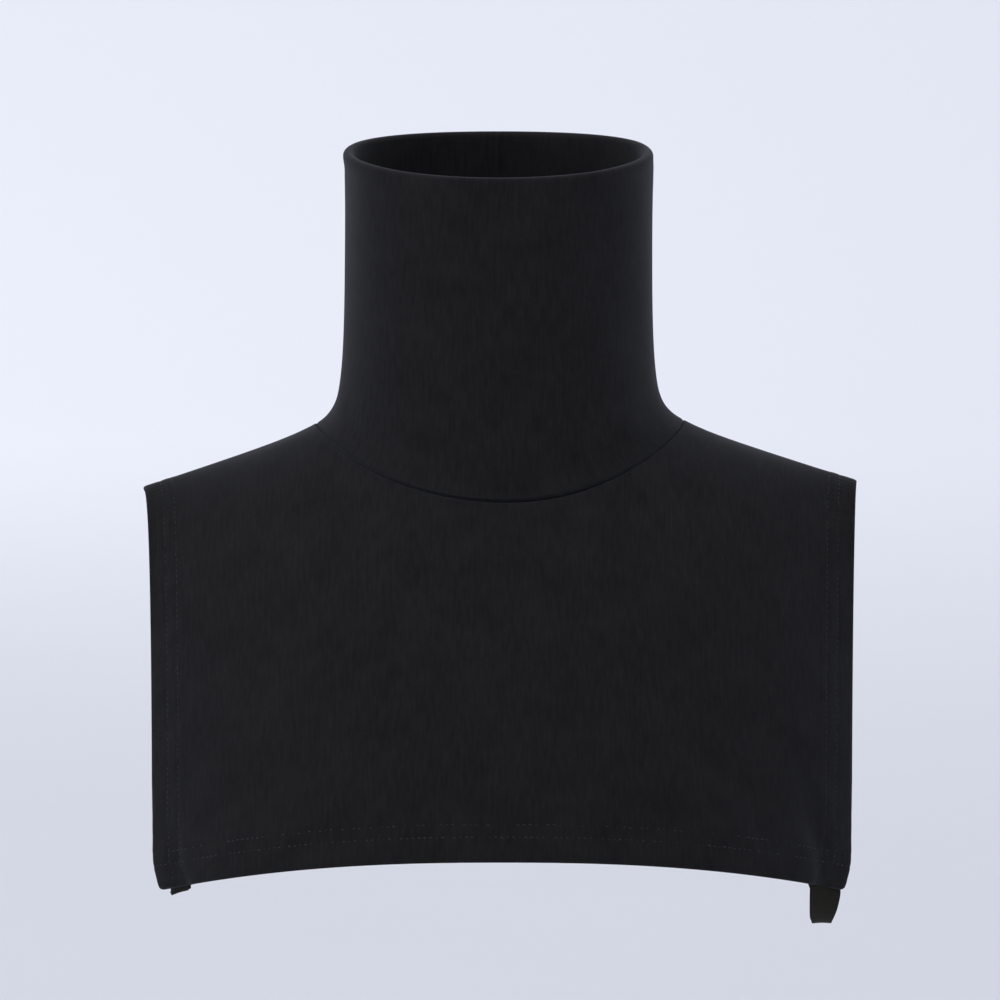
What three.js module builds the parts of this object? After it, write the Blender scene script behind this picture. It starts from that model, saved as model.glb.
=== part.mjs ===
// Turtleneck dickey: a tall folded collar on a short front and back bib, with an elastic strap under each
// arm. Millimetres. +Z is up, the front faces -Y, and the origin is the middle of the neck, level with the
// side neck points.
import * as THREE from 'three';

// Neckline: the seam between collar and bibs, seen from above
const neckHalfWidth = 90;
const neckFrontReach = 74;
const neckBackReach = 62;
const neckRise = 3.3;           // how far the bibs climb towards the collar at the seam
const neckRiseReach = 13;       // distance over which that climb dies away

// Collar: a tube of two layers, folded over at the rim
const collarWall = 3;
const rimWall = 5.6;            // the fold stands open at the rim, as a soft roll
const tubeHalfWidth = 74.2;
const tubeHalfDepth = 63;
const tubeSquareness = 2.1;     // 2 is an ellipse in plan, more is squarer
const tubeCentreX = -0.6;
const tubeCentreY = -8;
const tubeLean = 6;             // how far the rim stands forward of the tube's foot
const rimHeight = 131.1;        // middle of the rim, without the rounding of the fold
const rimTilt = 8;              // degrees, the front lower than the back
const rimSideLift = 2;          // and its sides a little above that slant

// Shoulders
const shoulderHalfWidth = 175;
const neckPointHeight = -0.7;   // shoulder line at the neckline, before the climb
const shoulderDrop = 27.4;      // from there down to the shoulder tip
const rightLift = 1.6;          // worn a little askew: the right tip stands higher, the left one lower
const ridgeSoftness = 30;       // rounds the ridge line off where it would meet over the neck

// Bibs: cloth, hems and outline
const clothWall = 1.2;
const hemWall = 2.4;
const hemDepth = 20;
const sideHemDepth = 15;
const hemStep = 1.2;            // the turned-in raw edge, from double to single cloth
const hemNarrowing = 5.8;       // on each side, from the shoulders to the hem
const cornerInset = 3.6;        // the bottom corner is drawn in by its strap
const cornerHeight = 17;        // over this height
const cornerCurve = 1.5;
const waistDrop = 220.5;        // hem corners below the origin
const bustFullness = 2.4;       // how squarely the hem turns from the middle to the sides
const sideSway = 0.95;          // the bibs hang this far to the right of the shoulders

// Front bib
const frontHemReach = 122;
const frontEdgeReach = 56;
const frontHemRise = 25.7;      // the middle of the hem is lifted by the bust
const frontRoll = 66;           // forward run of the cloth over the middle of the shoulders
const frontEdgeRoll = 24;       // and at the armhole edge
const frontFall = 112;          // upright run of the cloth above the hem
const frontLean = 12;           // the hem stands this far forward of that run's top

// Back bib
const backHemReach = 96;
const backEdgeReach = 54;
const backHemRise = -2;
const backRoll = 72;
const backEdgeRoll = 26;
const backFall = 120;
const backLean = -4;

// Elastic straps under the arms
const strapWall = 1.5;
const strapEdgeInset = 1.2;     // from the bib's corner to the strap's outer edge
const strapSpan = 14.5;         // from edge to edge, seen from the front
const strapOverlap = 12;        // length that lies inside each hem
const strapStraight = 3;        // length that goes straight on below it before it turns
const rightSag = 22;
const leftSag = 3.4;
const strapInset = 5.7;         // the outer edge swings in where the strap turns
const strapBow = 5;             // the strap bows outwards under the arm

const seamGap = 0.3;
const strapGap = 0.6;           // between a strap and the inside of the hem it is sewn to

// Mesh steps
const neckSteps = 12;           // for each quarter of the neckline
const shoulderSteps = 6;
const fallSteps = 15;
const foldSteps = 5;
const strapSteps = 28;
const searchSteps = 40;
const tiny = 0.001;
const fanShare = 0.66;          // share of the hem's half width that the neckline's columns fan out over
const fanEase = 1.6;            // how early they do so

// Sections of the collar from the seam up: height as a share of the whole, how much of the spread between
// the tube and the neckline is left, and how far the wall has grown to its thickness at the rim.
const collarSections = [
  { height: 0, spread: 1, roll: 0 },
  { height: 0.022, spread: 0.745, roll: 0 },
  { height: 0.045, spread: 0.554, roll: 0 },
  { height: 0.075, spread: 0.41, roll: 0 },
  { height: 0.115, spread: 0.28, roll: 0 },
  { height: 0.17, spread: 0.17, roll: 0 },
  { height: 0.26, spread: 0.1, roll: 0 },
  { height: 0.38, spread: 0.045, roll: 0 },
  { height: 0.55, spread: 0, roll: 0 },
  { height: 0.72, spread: 0, roll: 0 },
  { height: 0.86, spread: 0.015, roll: 0.15 },
  { height: 0.95, spread: 0.03, roll: 0.6 },
  { height: 1, spread: 0.04, roll: 1 },
];

// Route of each strap from the front hem (-1) to the back hem (1): inner and outer are the drops of its two
// edges as shares of its sag, inset is a share of the outer edge's swing, and bow of the bow of both.
const rightRoute = [
  { along: -1, inner: 0, outer: 0, inset: 0, bow: 0 },
  { along: -0.97, inner: 0.42, outer: 0.4, inset: 0.25, bow: 0 },
  { along: -0.88, inner: 0.88, outer: 0.78, inset: 0.75, bow: 0.1 },
  { along: -0.7, inner: 1, outer: 0.85, inset: 0.8, bow: 0.25 },
  { along: -0.3, inner: 0.96, outer: 0.84, inset: 0.65, bow: 0.6 },
  { along: 0.3, inner: 0.72, outer: 0.66, inset: 0.4, bow: 1 },
  { along: 0.8, inner: 0.3, outer: 0.28, inset: 0.1, bow: 0.5 },
  { along: 1, inner: 0, outer: 0, inset: 0, bow: 0 },
];
const leftRoute = [
  { along: -1, inner: 0, outer: 0, inset: 1, bow: 0 },
  { along: -0.9, inner: 0.5, outer: 0.5, inset: 1, bow: 0 },
  { along: -0.6, inner: 0.9, outer: 0.9, inset: 1, bow: 0.2 },
  { along: 0, inner: 1, outer: 1, inset: 1, bow: 0.35 },
  { along: 0.6, inner: 0.8, outer: 0.8, inset: 0.8, bow: 0.3 },
  { along: 0.9, inner: 0.35, outer: 0.35, inset: 0.6, bow: 0.1 },
  { along: 1, inner: 0, outer: 0, inset: 0.5, bow: 0 },
];

const front = {
  side: -1,
  neckReach: neckFrontReach,
  hemReach: frontHemReach,
  edgeReach: frontEdgeReach,
  hemRise: frontHemRise,
  roll: frontRoll,
  edgeRoll: frontEdgeRoll,
  fall: frontFall,
  lean: frontLean,
};
const back = {
  side: 1,
  neckReach: neckBackReach,
  hemReach: backHemReach,
  edgeReach: backEdgeReach,
  hemRise: backHemRise,
  roll: backRoll,
  edgeRoll: backEdgeRoll,
  fall: backFall,
  lean: backLean,
};

const { lerp, degToRad } = THREE.MathUtils;

const hemHalfWidth = shoulderHalfWidth - hemNarrowing;
const strapOuter = hemHalfWidth - cornerInset - strapEdgeInset;
const strapInner = strapOuter - strapSpan;

// Height of the shoulder ridge at a distance x from the middle: straight slopes with a rounded top.
function ridgeHeight(x) {
  const soft = (d) => Math.hypot(d, ridgeSoftness);
  const run = soft(shoulderHalfWidth) - soft(neckHalfWidth);
  const slope = shoulderDrop * (soft(x) - soft(neckHalfWidth)) / run;
  return neckPointHeight - slope + rightLift * x / shoulderHalfWidth;
}

// What is left, 1 in the middle to 0 at the hem corner, of a form that fades towards the sides.
function fullness(x) {
  return 1 - Math.min(Math.abs(x) / hemHalfWidth, 1) ** bustFullness;
}

// The climb of the cloth towards the collar, by its distance in plan from the neckline.
function neckClimb(bib, x, y) {
  const distance = (Math.hypot(x / neckHalfWidth, y / bib.neckReach) - 1) * neckHalfWidth;
  return neckRise * Math.exp(-Math.max(distance, 0) / neckRiseReach);
}

// One fall of the cloth at a distance x from the middle, from the ridge (q = 0) to the hem (q = 1): a cubic
// curve that leaves the ridge level and reaches the hem nearly upright.
function fallPoint(bib, x, q) {
  const middle = fullness(x);
  const reach = lerp(bib.edgeReach, bib.hemReach, middle);
  const roll = lerp(bib.edgeRoll, bib.roll, middle);
  const top = ridgeHeight(x);
  const hem = -waistDrop + bib.hemRise * middle;
  const p = 1 - q;
  const mix = (a, b, c, d) => a * p ** 3 + 3 * b * p * p * q + 3 * c * p * q * q + d * q ** 3;
  const y = bib.side * mix(seamGap / 2, roll, reach - bib.lean, reach);
  const z = mix(top, top, hem + bib.fall, hem);
  return new THREE.Vector3(x + sideSway * (1 - p ** 4), y, z + neckClimb(bib, x, y));
}

// The share q at which the fall at x reaches a depth y.
function shareAtDepth(bib, x, y) {
  let low = 0;
  let high = 1;
  for (let step = 0; step < searchSteps; step += 1) {
    const q = (low + high) / 2;
    if (fallPoint(bib, x, q).y * bib.side < y * bib.side) low = q;
    else high = q;
  }
  return (low + high) / 2;
}

// A point of the neckline: an ellipse in plan, grown by a clearance, laid onto the cloth, with its x and its
// share of the fall. Turn 0 is the middle of the bib, and a quarter turn the side neck point.
function necklinePoint(bib, turn, clearance) {
  const x = (neckHalfWidth + clearance) * Math.sin(turn);
  const y = bib.side * Math.max((bib.neckReach + clearance) * Math.cos(turn), seamGap / 2);
  const share = shareAtDepth(bib, x, y);
  return { x, share, point: fallPoint(bib, x, share) };
}

// The share of the fall that a height above the hem takes up: a cubic curve's end runs three handles a unit.
function hemShare(bib, height) {
  return height / (3 * bib.fall);
}

// Half width of a bib at a share q of its fall, drawn in at the bottom corner.
function halfWidth(bib, q) {
  const height = (1 - q) / hemShare(bib, 1);
  const corner = cornerInset * Math.max(1 - height / cornerHeight, 0) ** cornerCurve;
  return lerp(shoulderHalfWidth, hemHalfWidth, 1 - (1 - q) ** 2) - corner;
}

// Columns of a bib: from one side edge over the shoulder and round the neckline to the other.
function bibColumns(bib) {
  const neck = (neckHalfWidth + seamGap / 2) / shoulderHalfWidth;
  const hemInside = 1 - sideHemDepth / shoulderHalfWidth;
  const hemOutside = hemInside + hemStep / shoulderHalfWidth;
  const half = [1, hemOutside].map((share) => ({ top: share, q: 0, hem: share }));
  for (let i = 0; i < shoulderSteps; i += 1) {
    const t = i / shoulderSteps;
    half.push({ top: lerp(hemInside, neck, t), q: 0, hem: lerp(hemInside, fanShare, t) });
  }
  for (let i = neckSteps; i >= 0; i -= 1) {
    const { x, share } = necklinePoint(bib, (i / neckSteps) * Math.PI / 2, seamGap / 2);
    half.push({ top: x / halfWidth(bib, share), q: share, hem: fanShare * i / neckSteps });
  }
  const other = half.slice(0, -1).reverse();
  const mirrored = other.map(({ top, q, hem }) => ({ top: -top, q, hem: -hem }));
  return [...half, ...mirrored];
}

// Rows of a bib: even steps down each column's fall to the hem, then the step of its raw edge, and the edge.
// Each keeps a share of the column's height over a share of the fall that stays above the edge.
function bibRows(bib) {
  const rows = [];
  for (let j = 0; j <= fallSteps; j += 1) {
    rows.push({ keep: 1 - j / fallSteps, above: hemShare(bib, hemDepth) });
  }
  for (const above of [hemDepth - hemStep, hemDepth / 2, 0]) {
    rows.push({ keep: 0, above: hemShare(bib, above) });
  }
  return rows;
}

// The place of a column and a row on a bib: its share of the fall and its distance from the middle.
function bibPoint(bib, column, row) {
  const q = lerp(1 - row.above, column.q, row.keep);
  const fallen = (q - column.q) / (1 - column.q);
  const share = lerp(column.top, column.hem, 1 - (1 - fallen) ** fanEase);
  return { q, x: share * halfWidth(bib, q) };
}

// The outward normal of a bib's cloth.
function bibNormal(bib, x, q) {
  const across = fallPoint(bib, x + tiny, q).sub(fallPoint(bib, x - tiny, q));
  const down = fallPoint(bib, x, q + tiny).sub(fallPoint(bib, x, q - tiny));
  const normal = across.cross(down).normalize();
  return normal.multiplyScalar(bib.side);
}

function clothPoint(bib, x, q, depth) {
  return fallPoint(bib, x, q).addScaledVector(bibNormal(bib, x, q), -depth);
}

// A closed body from rows of points on its outer and its inner face. Seen from outside, the columns run to
// the right and the rows down.
function closedSheet(outer, inner) {
  const rows = outer.length;
  const columns = outer[0].length;
  const positions = [];
  for (const face of [outer, inner]) {
    for (const row of face) for (const point of row) positions.push(point.x, point.y, point.z);
  }
  const at = (face, j, i) => (face * rows + j) * columns + i;
  const indices = [];
  const quad = (a, b, c, d) => indices.push(a, b, c, a, c, d);
  for (let j = 0; j < rows - 1; j += 1) {
    for (let i = 0; i < columns - 1; i += 1) {
      quad(at(0, j, i), at(0, j + 1, i), at(0, j + 1, i + 1), at(0, j, i + 1));
      quad(at(1, j, i), at(1, j, i + 1), at(1, j + 1, i + 1), at(1, j + 1, i));
    }
  }
  for (let i = 0; i < columns - 1; i += 1) {
    quad(at(0, 0, i), at(0, 0, i + 1), at(1, 0, i + 1), at(1, 0, i));
    quad(at(0, rows - 1, i + 1), at(0, rows - 1, i), at(1, rows - 1, i), at(1, rows - 1, i + 1));
  }
  for (let j = 0; j < rows - 1; j += 1) {
    quad(at(0, j + 1, 0), at(0, j, 0), at(1, j, 0), at(1, j + 1, 0));
    quad(at(0, j, columns - 1), at(0, j + 1, columns - 1), at(1, j + 1, columns - 1), at(1, j, columns - 1));
  }
  return makeGeometry(positions, indices);
}

// A closed body from rings of points, each joined to the next and the last to the first.
function closedRings(rings) {
  const count = rings[0].length;
  const positions = rings.flat().flatMap((point) => [point.x, point.y, point.z]);
  const indices = [];
  rings.forEach((ring, j) => {
    const next = (j + 1) % rings.length;
    for (let i = 0; i < count; i += 1) {
      const right = (i + 1) % count;
      const [a, b, c, d] = [j * count + i, j * count + right, next * count + right, next * count + i];
      indices.push(a, b, c, a, c, d);
    }
  });
  return makeGeometry(positions, indices);
}

function makeGeometry(positions, indices) {
  const geometry = new THREE.BufferGeometry();
  geometry.setAttribute('position', new THREE.Float32BufferAttribute(positions, 3));
  geometry.setIndex(indices);
  geometry.computeVertexNormals();
  return geometry;
}

// A bib: single cloth with doubled hems at its bottom and side edges.
function bib(shape) {
  const columns = bibColumns(shape);
  const rows = bibRows(shape);
  const outer = [];
  const inner = [];
  rows.forEach((row, j) => {
    const ordered = shape.side < 0 ? [...columns].reverse() : columns;
    const points = ordered.map((column) => bibPoint(shape, column, row));
    const doubled = (i) => j > fallSteps || i < 2 || i > columns.length - 3;
    outer.push(points.map(({ x, q }) => fallPoint(shape, x, q)));
    inner.push(points.map(({ x, q }, i) => clothPoint(shape, x, q, doubled(i) ? hemWall : clothWall)));
  });
  return closedSheet(outer, inner);
}

// A sine or cosine, bent so that the loop it draws is a squarer one.
function squarer(value) {
  return Math.sign(value) * Math.abs(value) ** (2 / tubeSquareness);
}

// A point on the collar's outer face, by its turn from the middle of the front and its section.
function collarPoint(turn, section) {
  const shape = Math.cos(turn) >= 0 ? front : back;
  const bibTurn = shape === front ? turn : Math.PI - turn;
  const seam = necklinePoint(shape, bibTurn, -seamGap / 2).point;
  const centre = tubeCentreY - tubeLean * section.height;
  const tubeX = tubeCentreX + tubeHalfWidth * squarer(Math.sin(turn));
  const tubeY = centre - tubeHalfDepth * squarer(Math.cos(turn));
  const slant = (tubeY - centre) * Math.tan(degToRad(rimTilt));
  const rim = rimHeight + slant + rimSideLift * Math.sin(turn) ** 2;
  return new THREE.Vector3(
    lerp(tubeX, seam.x, section.spread),
    lerp(tubeY, seam.y, section.spread),
    lerp(seam.z, rim, section.height),
  );
}

// The collar: outer face up, round the fold, inner face down.
function collar() {
  const count = 4 * neckSteps;
  const turns = Array.from({ length: count }, (_, i) => (i / count) * Math.PI * 2);
  const outer = collarSections.map((section) => turns.map((turn) => collarPoint(turn, section)));
  const normals = outer.map((ring, j) => ring.map((point, i) => {
    const across = ring[(i + 1) % count].clone().sub(ring[(i + count - 1) % count]);
    const up = outer[Math.min(j + 1, outer.length - 1)][i].clone().sub(outer[Math.max(j - 1, 0)][i]);
    return across.cross(up).normalize();
  }));
  const inner = outer.map((ring, j) => ring.map((point, i) => (
    point.clone().addScaledVector(normals[j][i], -lerp(collarWall, rimWall, collarSections[j].roll))
  )));
  const last = outer.length - 1;
  const fold = [];
  for (let step = 1; step < foldSteps; step += 1) {
    const angle = (step / foldSteps) * Math.PI;
    fold.push(turns.map((turn, i) => {
      const middle = outer[last][i].clone().lerp(inner[last][i], 0.5);
      const up = outer[last][i].clone().sub(outer[last - 1][i]).normalize();
      return middle.addScaledVector(normals[last][i], Math.cos(angle) * rimWall / 2)
        .addScaledVector(up, Math.sin(angle) * rimWall / 2);
    }));
  }
  return closedRings([...outer, ...fold, ...inner.reverse()]);
}

// A point straight behind a bib's cloth, as deep as its distance from the outer face.
function behindCloth(bib, x, q, depth) {
  const point = fallPoint(bib, x, q);
  point.y -= depth / bibNormal(bib, x, q).y;
  return point;
}

// One edge of a strap, from inside the front hem, under the arm, to inside the back hem, x from the middle.
// Each stop of its route has a share of the sag and an outward shift, and the end stops' shifts also hold
// inside the hems.
function strapEdge(mirror, x, sag, route) {
  const end = (shape, shift) => {
    const place = mirror * x - sideSway;
    const depth = hemWall + strapGap;
    const hem = behindCloth(shape, place, 1, depth);
    const top = behindCloth(shape, place, 1 - hemShare(shape, strapOverlap), depth);
    const below = hem.clone().lerp(top, -strapStraight / strapOverlap);
    for (const point of [top, hem]) point.x += mirror * shift;
    return { top, hem, below };
  };
  const first = end(front, route[0].shift);
  const last = end(back, route[route.length - 1].shift);
  const stops = route.map(({ along, drop, shift }) => {
    const point = first.below.clone().lerp(last.below, (along + 1) / 2);
    point.x += mirror * shift;
    point.z -= (sag - strapStraight) * drop;
    return point;
  });
  const line = [first.top, first.hem, ...stops, last.hem, last.top];
  return new THREE.CatmullRomCurve3(line, false, 'centripetal').getPoints(strapSteps);
}

// A strap: a flat band between its two edges.
function strap(mirror, sag, route) {
  const nearRoute = route.map(({ along, inner, bow }) => (
    { along, drop: inner, shift: strapBow * bow }
  ));
  const farRoute = route.map(({ along, outer, inset, bow }) => (
    { along, drop: outer, shift: strapBow * bow - strapInset * inset }
  ));
  const near = strapEdge(mirror, strapInner, sag, nearRoute);
  const far = strapEdge(mirror, strapOuter, sag, farRoute);
  const normals = near.map((point, i) => {
    const along = near[Math.min(i + 1, strapSteps)].clone().sub(near[Math.max(i - 1, 0)]);
    return along.cross(far[i].clone().sub(point)).normalize().multiplyScalar(mirror);
  });
  const [left, right] = mirror > 0 ? [near, far] : [far, near];
  const outer = left.map((point, i) => [point, right[i]]);
  const inner = outer.map((row, i) => row.map((point) => (
    point.clone().addScaledVector(normals[i], -strapWall)
  )));
  return closedSheet(outer, inner);
}

const jersey = { color: 0x25262c, roughness: 0.88, metalness: 0 };
const elastic = { color: 0x2b2b28, roughness: 0.8, metalness: 0 };

function piece(name, geometry, finish) {
  const mesh = new THREE.Mesh(geometry, new THREE.MeshStandardMaterial(finish));
  mesh.name = name;
  return mesh;
}

const group = new THREE.Group();
group.add(
  piece('collar', collar(), jersey),
  piece('front_panel', bib(front), jersey),
  piece('back_panel', bib(back), jersey),
  piece('side_strap_right', strap(1, rightSag, rightRoute), elastic),
  piece('side_strap_left', strap(-1, leftSag, leftRoute), elastic),
);

export default group;
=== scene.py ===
# %% [markdown]
# # A turtleneck dickey in black jersey
#
# A dickey is the part of a pullover that shows under a jacket: a tall collar folded double, a short bib in
# front and one behind, and an elastic strap under each arm that keeps the bibs in place. This lesson makes
# it as the sewing room does, piece by piece. Each piece of cloth is a thin sheet that really turns back at
# its hems, because that is what makes an edge look like cloth and not like a cut board.

# %% Tools and the imported model
import math

import bpy
import numpy as np
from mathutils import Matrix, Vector


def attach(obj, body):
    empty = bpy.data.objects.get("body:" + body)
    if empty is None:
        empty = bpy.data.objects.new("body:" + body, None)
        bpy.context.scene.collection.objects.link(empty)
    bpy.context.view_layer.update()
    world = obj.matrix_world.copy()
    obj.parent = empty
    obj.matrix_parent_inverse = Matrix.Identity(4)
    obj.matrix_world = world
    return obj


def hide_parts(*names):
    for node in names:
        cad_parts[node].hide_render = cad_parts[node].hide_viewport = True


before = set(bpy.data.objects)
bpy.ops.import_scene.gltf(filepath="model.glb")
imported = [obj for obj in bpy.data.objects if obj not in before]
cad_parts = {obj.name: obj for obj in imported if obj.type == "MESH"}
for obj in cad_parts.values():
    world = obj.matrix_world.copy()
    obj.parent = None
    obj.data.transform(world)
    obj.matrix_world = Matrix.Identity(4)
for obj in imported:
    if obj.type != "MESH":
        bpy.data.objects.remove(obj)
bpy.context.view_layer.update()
MM = 0.001
print("nodes:", sorted(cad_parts))

# %% [markdown]
# ## The view
#
# The dickey is seen from straight in front and a little above, with a long lens, so that its sides run
# almost parallel. A short lens nearby would show the same width but would swell the collar. The angle goes
# with the collar's depth and the slant of its rim: together they make the rim's ellipse as flat as it is,
# and one view alone can't tell the three apart.

# %% Camera
VIEW_DISTANCE = 2.6
VIEW_RISE = math.radians(6)
VIEW_TARGET = Vector((0, 0, -36 * MM))
VIEW_WIDTH = 490 * MM
SENSOR = 36.0


def make_camera():
    """The camera stands on a circle round the target, in the plane x = 0, and looks at the target."""
    data = bpy.data.cameras.new("front_view")
    data.sensor_width = SENSOR
    data.lens = SENSOR * VIEW_DISTANCE / VIEW_WIDTH
    data.clip_end = 200
    camera = bpy.data.objects.new("front_view", data)
    back = Vector((0, -math.cos(VIEW_RISE), math.sin(VIEW_RISE)))
    camera.location = VIEW_TARGET + back * VIEW_DISTANCE
    camera.rotation_euler = (-back).to_track_quat("-Z", "Y").to_euler()
    bpy.context.scene.collection.objects.link(camera)
    bpy.context.scene.camera = camera
    return camera


camera = make_camera()
print("lens", round(camera.data.lens, 1), "mm at", VIEW_DISTANCE, "m")

# %% [markdown]
# ## The form that the cloth lies on
#
# Cloth takes the shape of what is under it. Here that is shoulders that slope down to the sides and a chest
# that comes forward. A body could be scanned or sculpted, but then nobody could make the bib longer or
# wider. So the form is a family of curves, one for each distance from the middle: each leaves the shoulder
# ridge level, rolls over and falls to the hem. Their sizes are those of the construction model.

# %% Sizes of the neck and the shoulders
NECK_HALF = 90 * MM
NECK_RISE = 3.3 * MM
NECK_RISE_REACH = 13 * MM
SHOULDER_HALF = 175 * MM
NECK_POINT = -0.7 * MM
SHOULDER_DROP = 27.4 * MM
RIDGE_SOFTNESS = 30 * MM
RIGHT_LIFT = 1.6 * MM
HEM_HALF = SHOULDER_HALF - 5.8 * MM
CORNER_INSET = 3.6 * MM
CORNER_HEIGHT = 17 * MM
CORNER_CURVE = 1.5
WAIST_DROP = 220.5 * MM
BUST_FULLNESS = 2.4
SIDE_SWAY = 0.95 * MM
SEAM_GAP = 0.02 * MM

FRONT = {"name": "front", "side": -1, "neck": 74 * MM, "hem": 122 * MM, "edge": 56 * MM,
         "rise": 25.7 * MM, "roll": 66 * MM, "edge_roll": 24 * MM, "fall": 112 * MM, "lean": 12 * MM}
BACK = {"name": "back", "side": 1, "neck": 62 * MM, "hem": 96 * MM, "edge": 54 * MM,
        "rise": -2 * MM, "roll": 72 * MM, "edge_roll": 26 * MM, "fall": 120 * MM, "lean": -4 * MM}


# %% The falls of the cloth
def lerp(a, b, t):
    """The value a share t of the way from a to b."""
    return a + (b - a) * t


def ridge_height(x):
    """Two straight slopes, rounded off where they would meet: the length of (x, softness) in place of x."""
    soft = np.hypot(x, RIDGE_SOFTNESS) - np.hypot(NECK_HALF, RIDGE_SOFTNESS)
    run = np.hypot(SHOULDER_HALF, RIDGE_SOFTNESS) - np.hypot(NECK_HALF, RIDGE_SOFTNESS)
    return NECK_POINT - SHOULDER_DROP * soft / run + RIGHT_LIFT * x / SHOULDER_HALF


def fall_point(bib, x, q):
    """A cubic curve in depth and height from the ridge (q = 0) to the hem (q = 1), at a distance x from the
    middle. Its reach and its roll swell towards the middle, near the neckline it climbs a little, and below
    the shoulder it hangs a little to the right."""
    middle = 1 - np.minimum(np.abs(x) / HEM_HALF, 1) ** BUST_FULLNESS
    reach = lerp(bib["edge"], bib["hem"], middle)
    roll = lerp(bib["edge_roll"], bib["roll"], middle)
    top = ridge_height(x)
    hem = -WAIST_DROP + bib["rise"] * middle
    p = 1 - q
    weights = (p**3, 3 * p * p * q, 3 * p * q * q, q**3)
    depth = (SEAM_GAP / 2, roll, reach - bib["lean"], reach)
    height = (top, top, hem + bib["fall"], hem)
    y = bib["side"] * sum(w * value for w, value in zip(weights, depth))
    z = sum(w * value for w, value in zip(weights, height))
    beyond = np.maximum(np.hypot(x / NECK_HALF, y / bib["neck"]) - 1, 0) * NECK_HALF
    climb = NECK_RISE * np.exp(-beyond / NECK_RISE_REACH)
    return np.stack([x + SIDE_SWAY * (1 - p**4) + 0 * y, y, z + climb], axis=-1)


def unit(vectors):
    """The vectors, each divided by its length."""
    return vectors / np.maximum(np.linalg.norm(vectors, axis=-1, keepdims=True), 1e-12)


def fall_normal(bib, x, q):
    """The outward normal: the slope across the falls crossed with the slope down them, from near points."""
    step, share = 0.1 * MM, 0.0005
    across = fall_point(bib, x + step, q) - fall_point(bib, x - step, q)
    down = fall_point(bib, x, q + share) - fall_point(bib, x, q - share)
    return unit(np.cross(across, down)) * bib["side"]


def half_width(bib, q):
    """The half width narrows from shoulder to hem, and the strap draws the bottom corner in further."""
    height = (1 - q) * 3 * bib["fall"]
    corner = CORNER_INSET * np.maximum(1 - height / CORNER_HEIGHT, 0) ** CORNER_CURVE
    return lerp(SHOULDER_HALF, HEM_HALF, 1 - (1 - np.minimum(q, 1)) ** 2) - corner


def neckline(bib, turn, clearance=0.0):
    """The seam line: an ellipse in plan, laid onto the cloth. Halving the fall 40 times finds the share at
    which its depth is the ellipse's. Gives the share and the point."""
    x = (NECK_HALF + clearance) * np.sin(turn)
    depth = np.maximum((bib["neck"] + clearance) * np.cos(turn), SEAM_GAP / 2)
    low, high = np.zeros_like(x), np.ones_like(x)
    for _ in range(40):
        q = (low + high) / 2
        short = fall_point(bib, x, q)[..., 1] * bib["side"] < depth
        low, high = np.where(short, q, low), np.where(short, high, q)
    return q, fall_point(bib, x, q)


seam_front = neckline(FRONT, np.array([0.0]))[1][0]
print("the seam lies", round(-seam_front[2] / MM, 1), "mm below the side neck points in front")

# %% [markdown]
# ## How a sheet becomes a mesh
#
# A sheet of cloth has a face, a back and thin edges. The face is worked out as a grid of points, and the
# back lies one cloth thickness behind it, along the normals. Solidify would do that too, but it thins the
# cloth where a hem turns tightly, and it can't tell the edges apart. The grid also gives each point its
# place on the flat cloth, and the knit follows that, so that it runs down the collar and round the hems.

# %% From a grid of points to a closed sheet
CLOTH = 1.1 * MM


def grid_normals(face, ring):
    """The normal at each grid point: the difference down the rows crossed with that across the columns."""
    down = np.gradient(face, axis=0)
    if ring:
        across = np.roll(face, -1, axis=1) - np.roll(face, 1, axis=1)
    else:
        across = np.gradient(face, axis=1)
    return unit(np.cross(down, across))


def quads(a, b, c, d):
    """Rows of four corner numbers, from four arrays of corners."""
    return np.stack([a, b, c, d], axis=-1).reshape(-1, 4)


def sheet_faces(rows, columns, ring):
    """Corner numbers of a closed sheet: the face's cells, the back's turned round, and a strip along each
    open edge. Seen from outside, the columns run to the right and the rows down."""
    number = np.arange(2 * rows * columns).reshape(2, rows, columns)
    if ring:
        number = np.concatenate([number, number[:, :, :1]], axis=2)
    face, back = number
    cells = [
        quads(face[:-1, :-1], face[1:, :-1], face[1:, 1:], face[:-1, 1:]),
        quads(back[:-1, :-1], back[:-1, 1:], back[1:, 1:], back[1:, :-1]),
        quads(face[0, :-1], face[0, 1:], back[0, 1:], back[0, :-1]),
        quads(face[-1, 1:], face[-1, :-1], back[-1, :-1], back[-1, 1:]),
    ]
    if not ring:
        cells.append(quads(face[1:, 0], face[:-1, 0], back[:-1, 0], back[1:, 0]))
        cells.append(quads(face[:-1, -1], face[1:, -1], back[1:, -1], back[:-1, -1]))
    return np.concatenate(cells)


def make_mesh(name, points, faces, corner_flat=None, sharp=50):
    """A mesh object from arrays of points and of corner numbers, with the flat cloth's coordinates at each
    corner in a UV map, in metres, and smooth shading up to an angle."""
    mesh = bpy.data.meshes.new(name)
    mesh.vertices.add(len(points))
    mesh.vertices.foreach_set("co", points.astype(np.float32).ravel())
    mesh.loops.add(faces.size)
    mesh.loops.foreach_set("vertex_index", faces.astype(np.int32).ravel())
    mesh.polygons.add(len(faces))
    mesh.polygons.foreach_set("loop_start", np.arange(len(faces), dtype=np.int32) * faces.shape[1])
    mesh.update(calc_edges=True)
    if corner_flat is not None:
        layer = mesh.uv_layers.new(name="flat_cloth")
        layer.data.foreach_set("uv", corner_flat.astype(np.float32).ravel())
    mesh.polygons.foreach_set("use_smooth", np.ones(len(mesh.polygons), dtype=bool))
    mesh.set_sharp_from_angle(angle=math.radians(sharp))
    piece = bpy.data.objects.new(name, mesh)
    bpy.context.scene.collection.objects.link(piece)
    return piece


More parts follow.
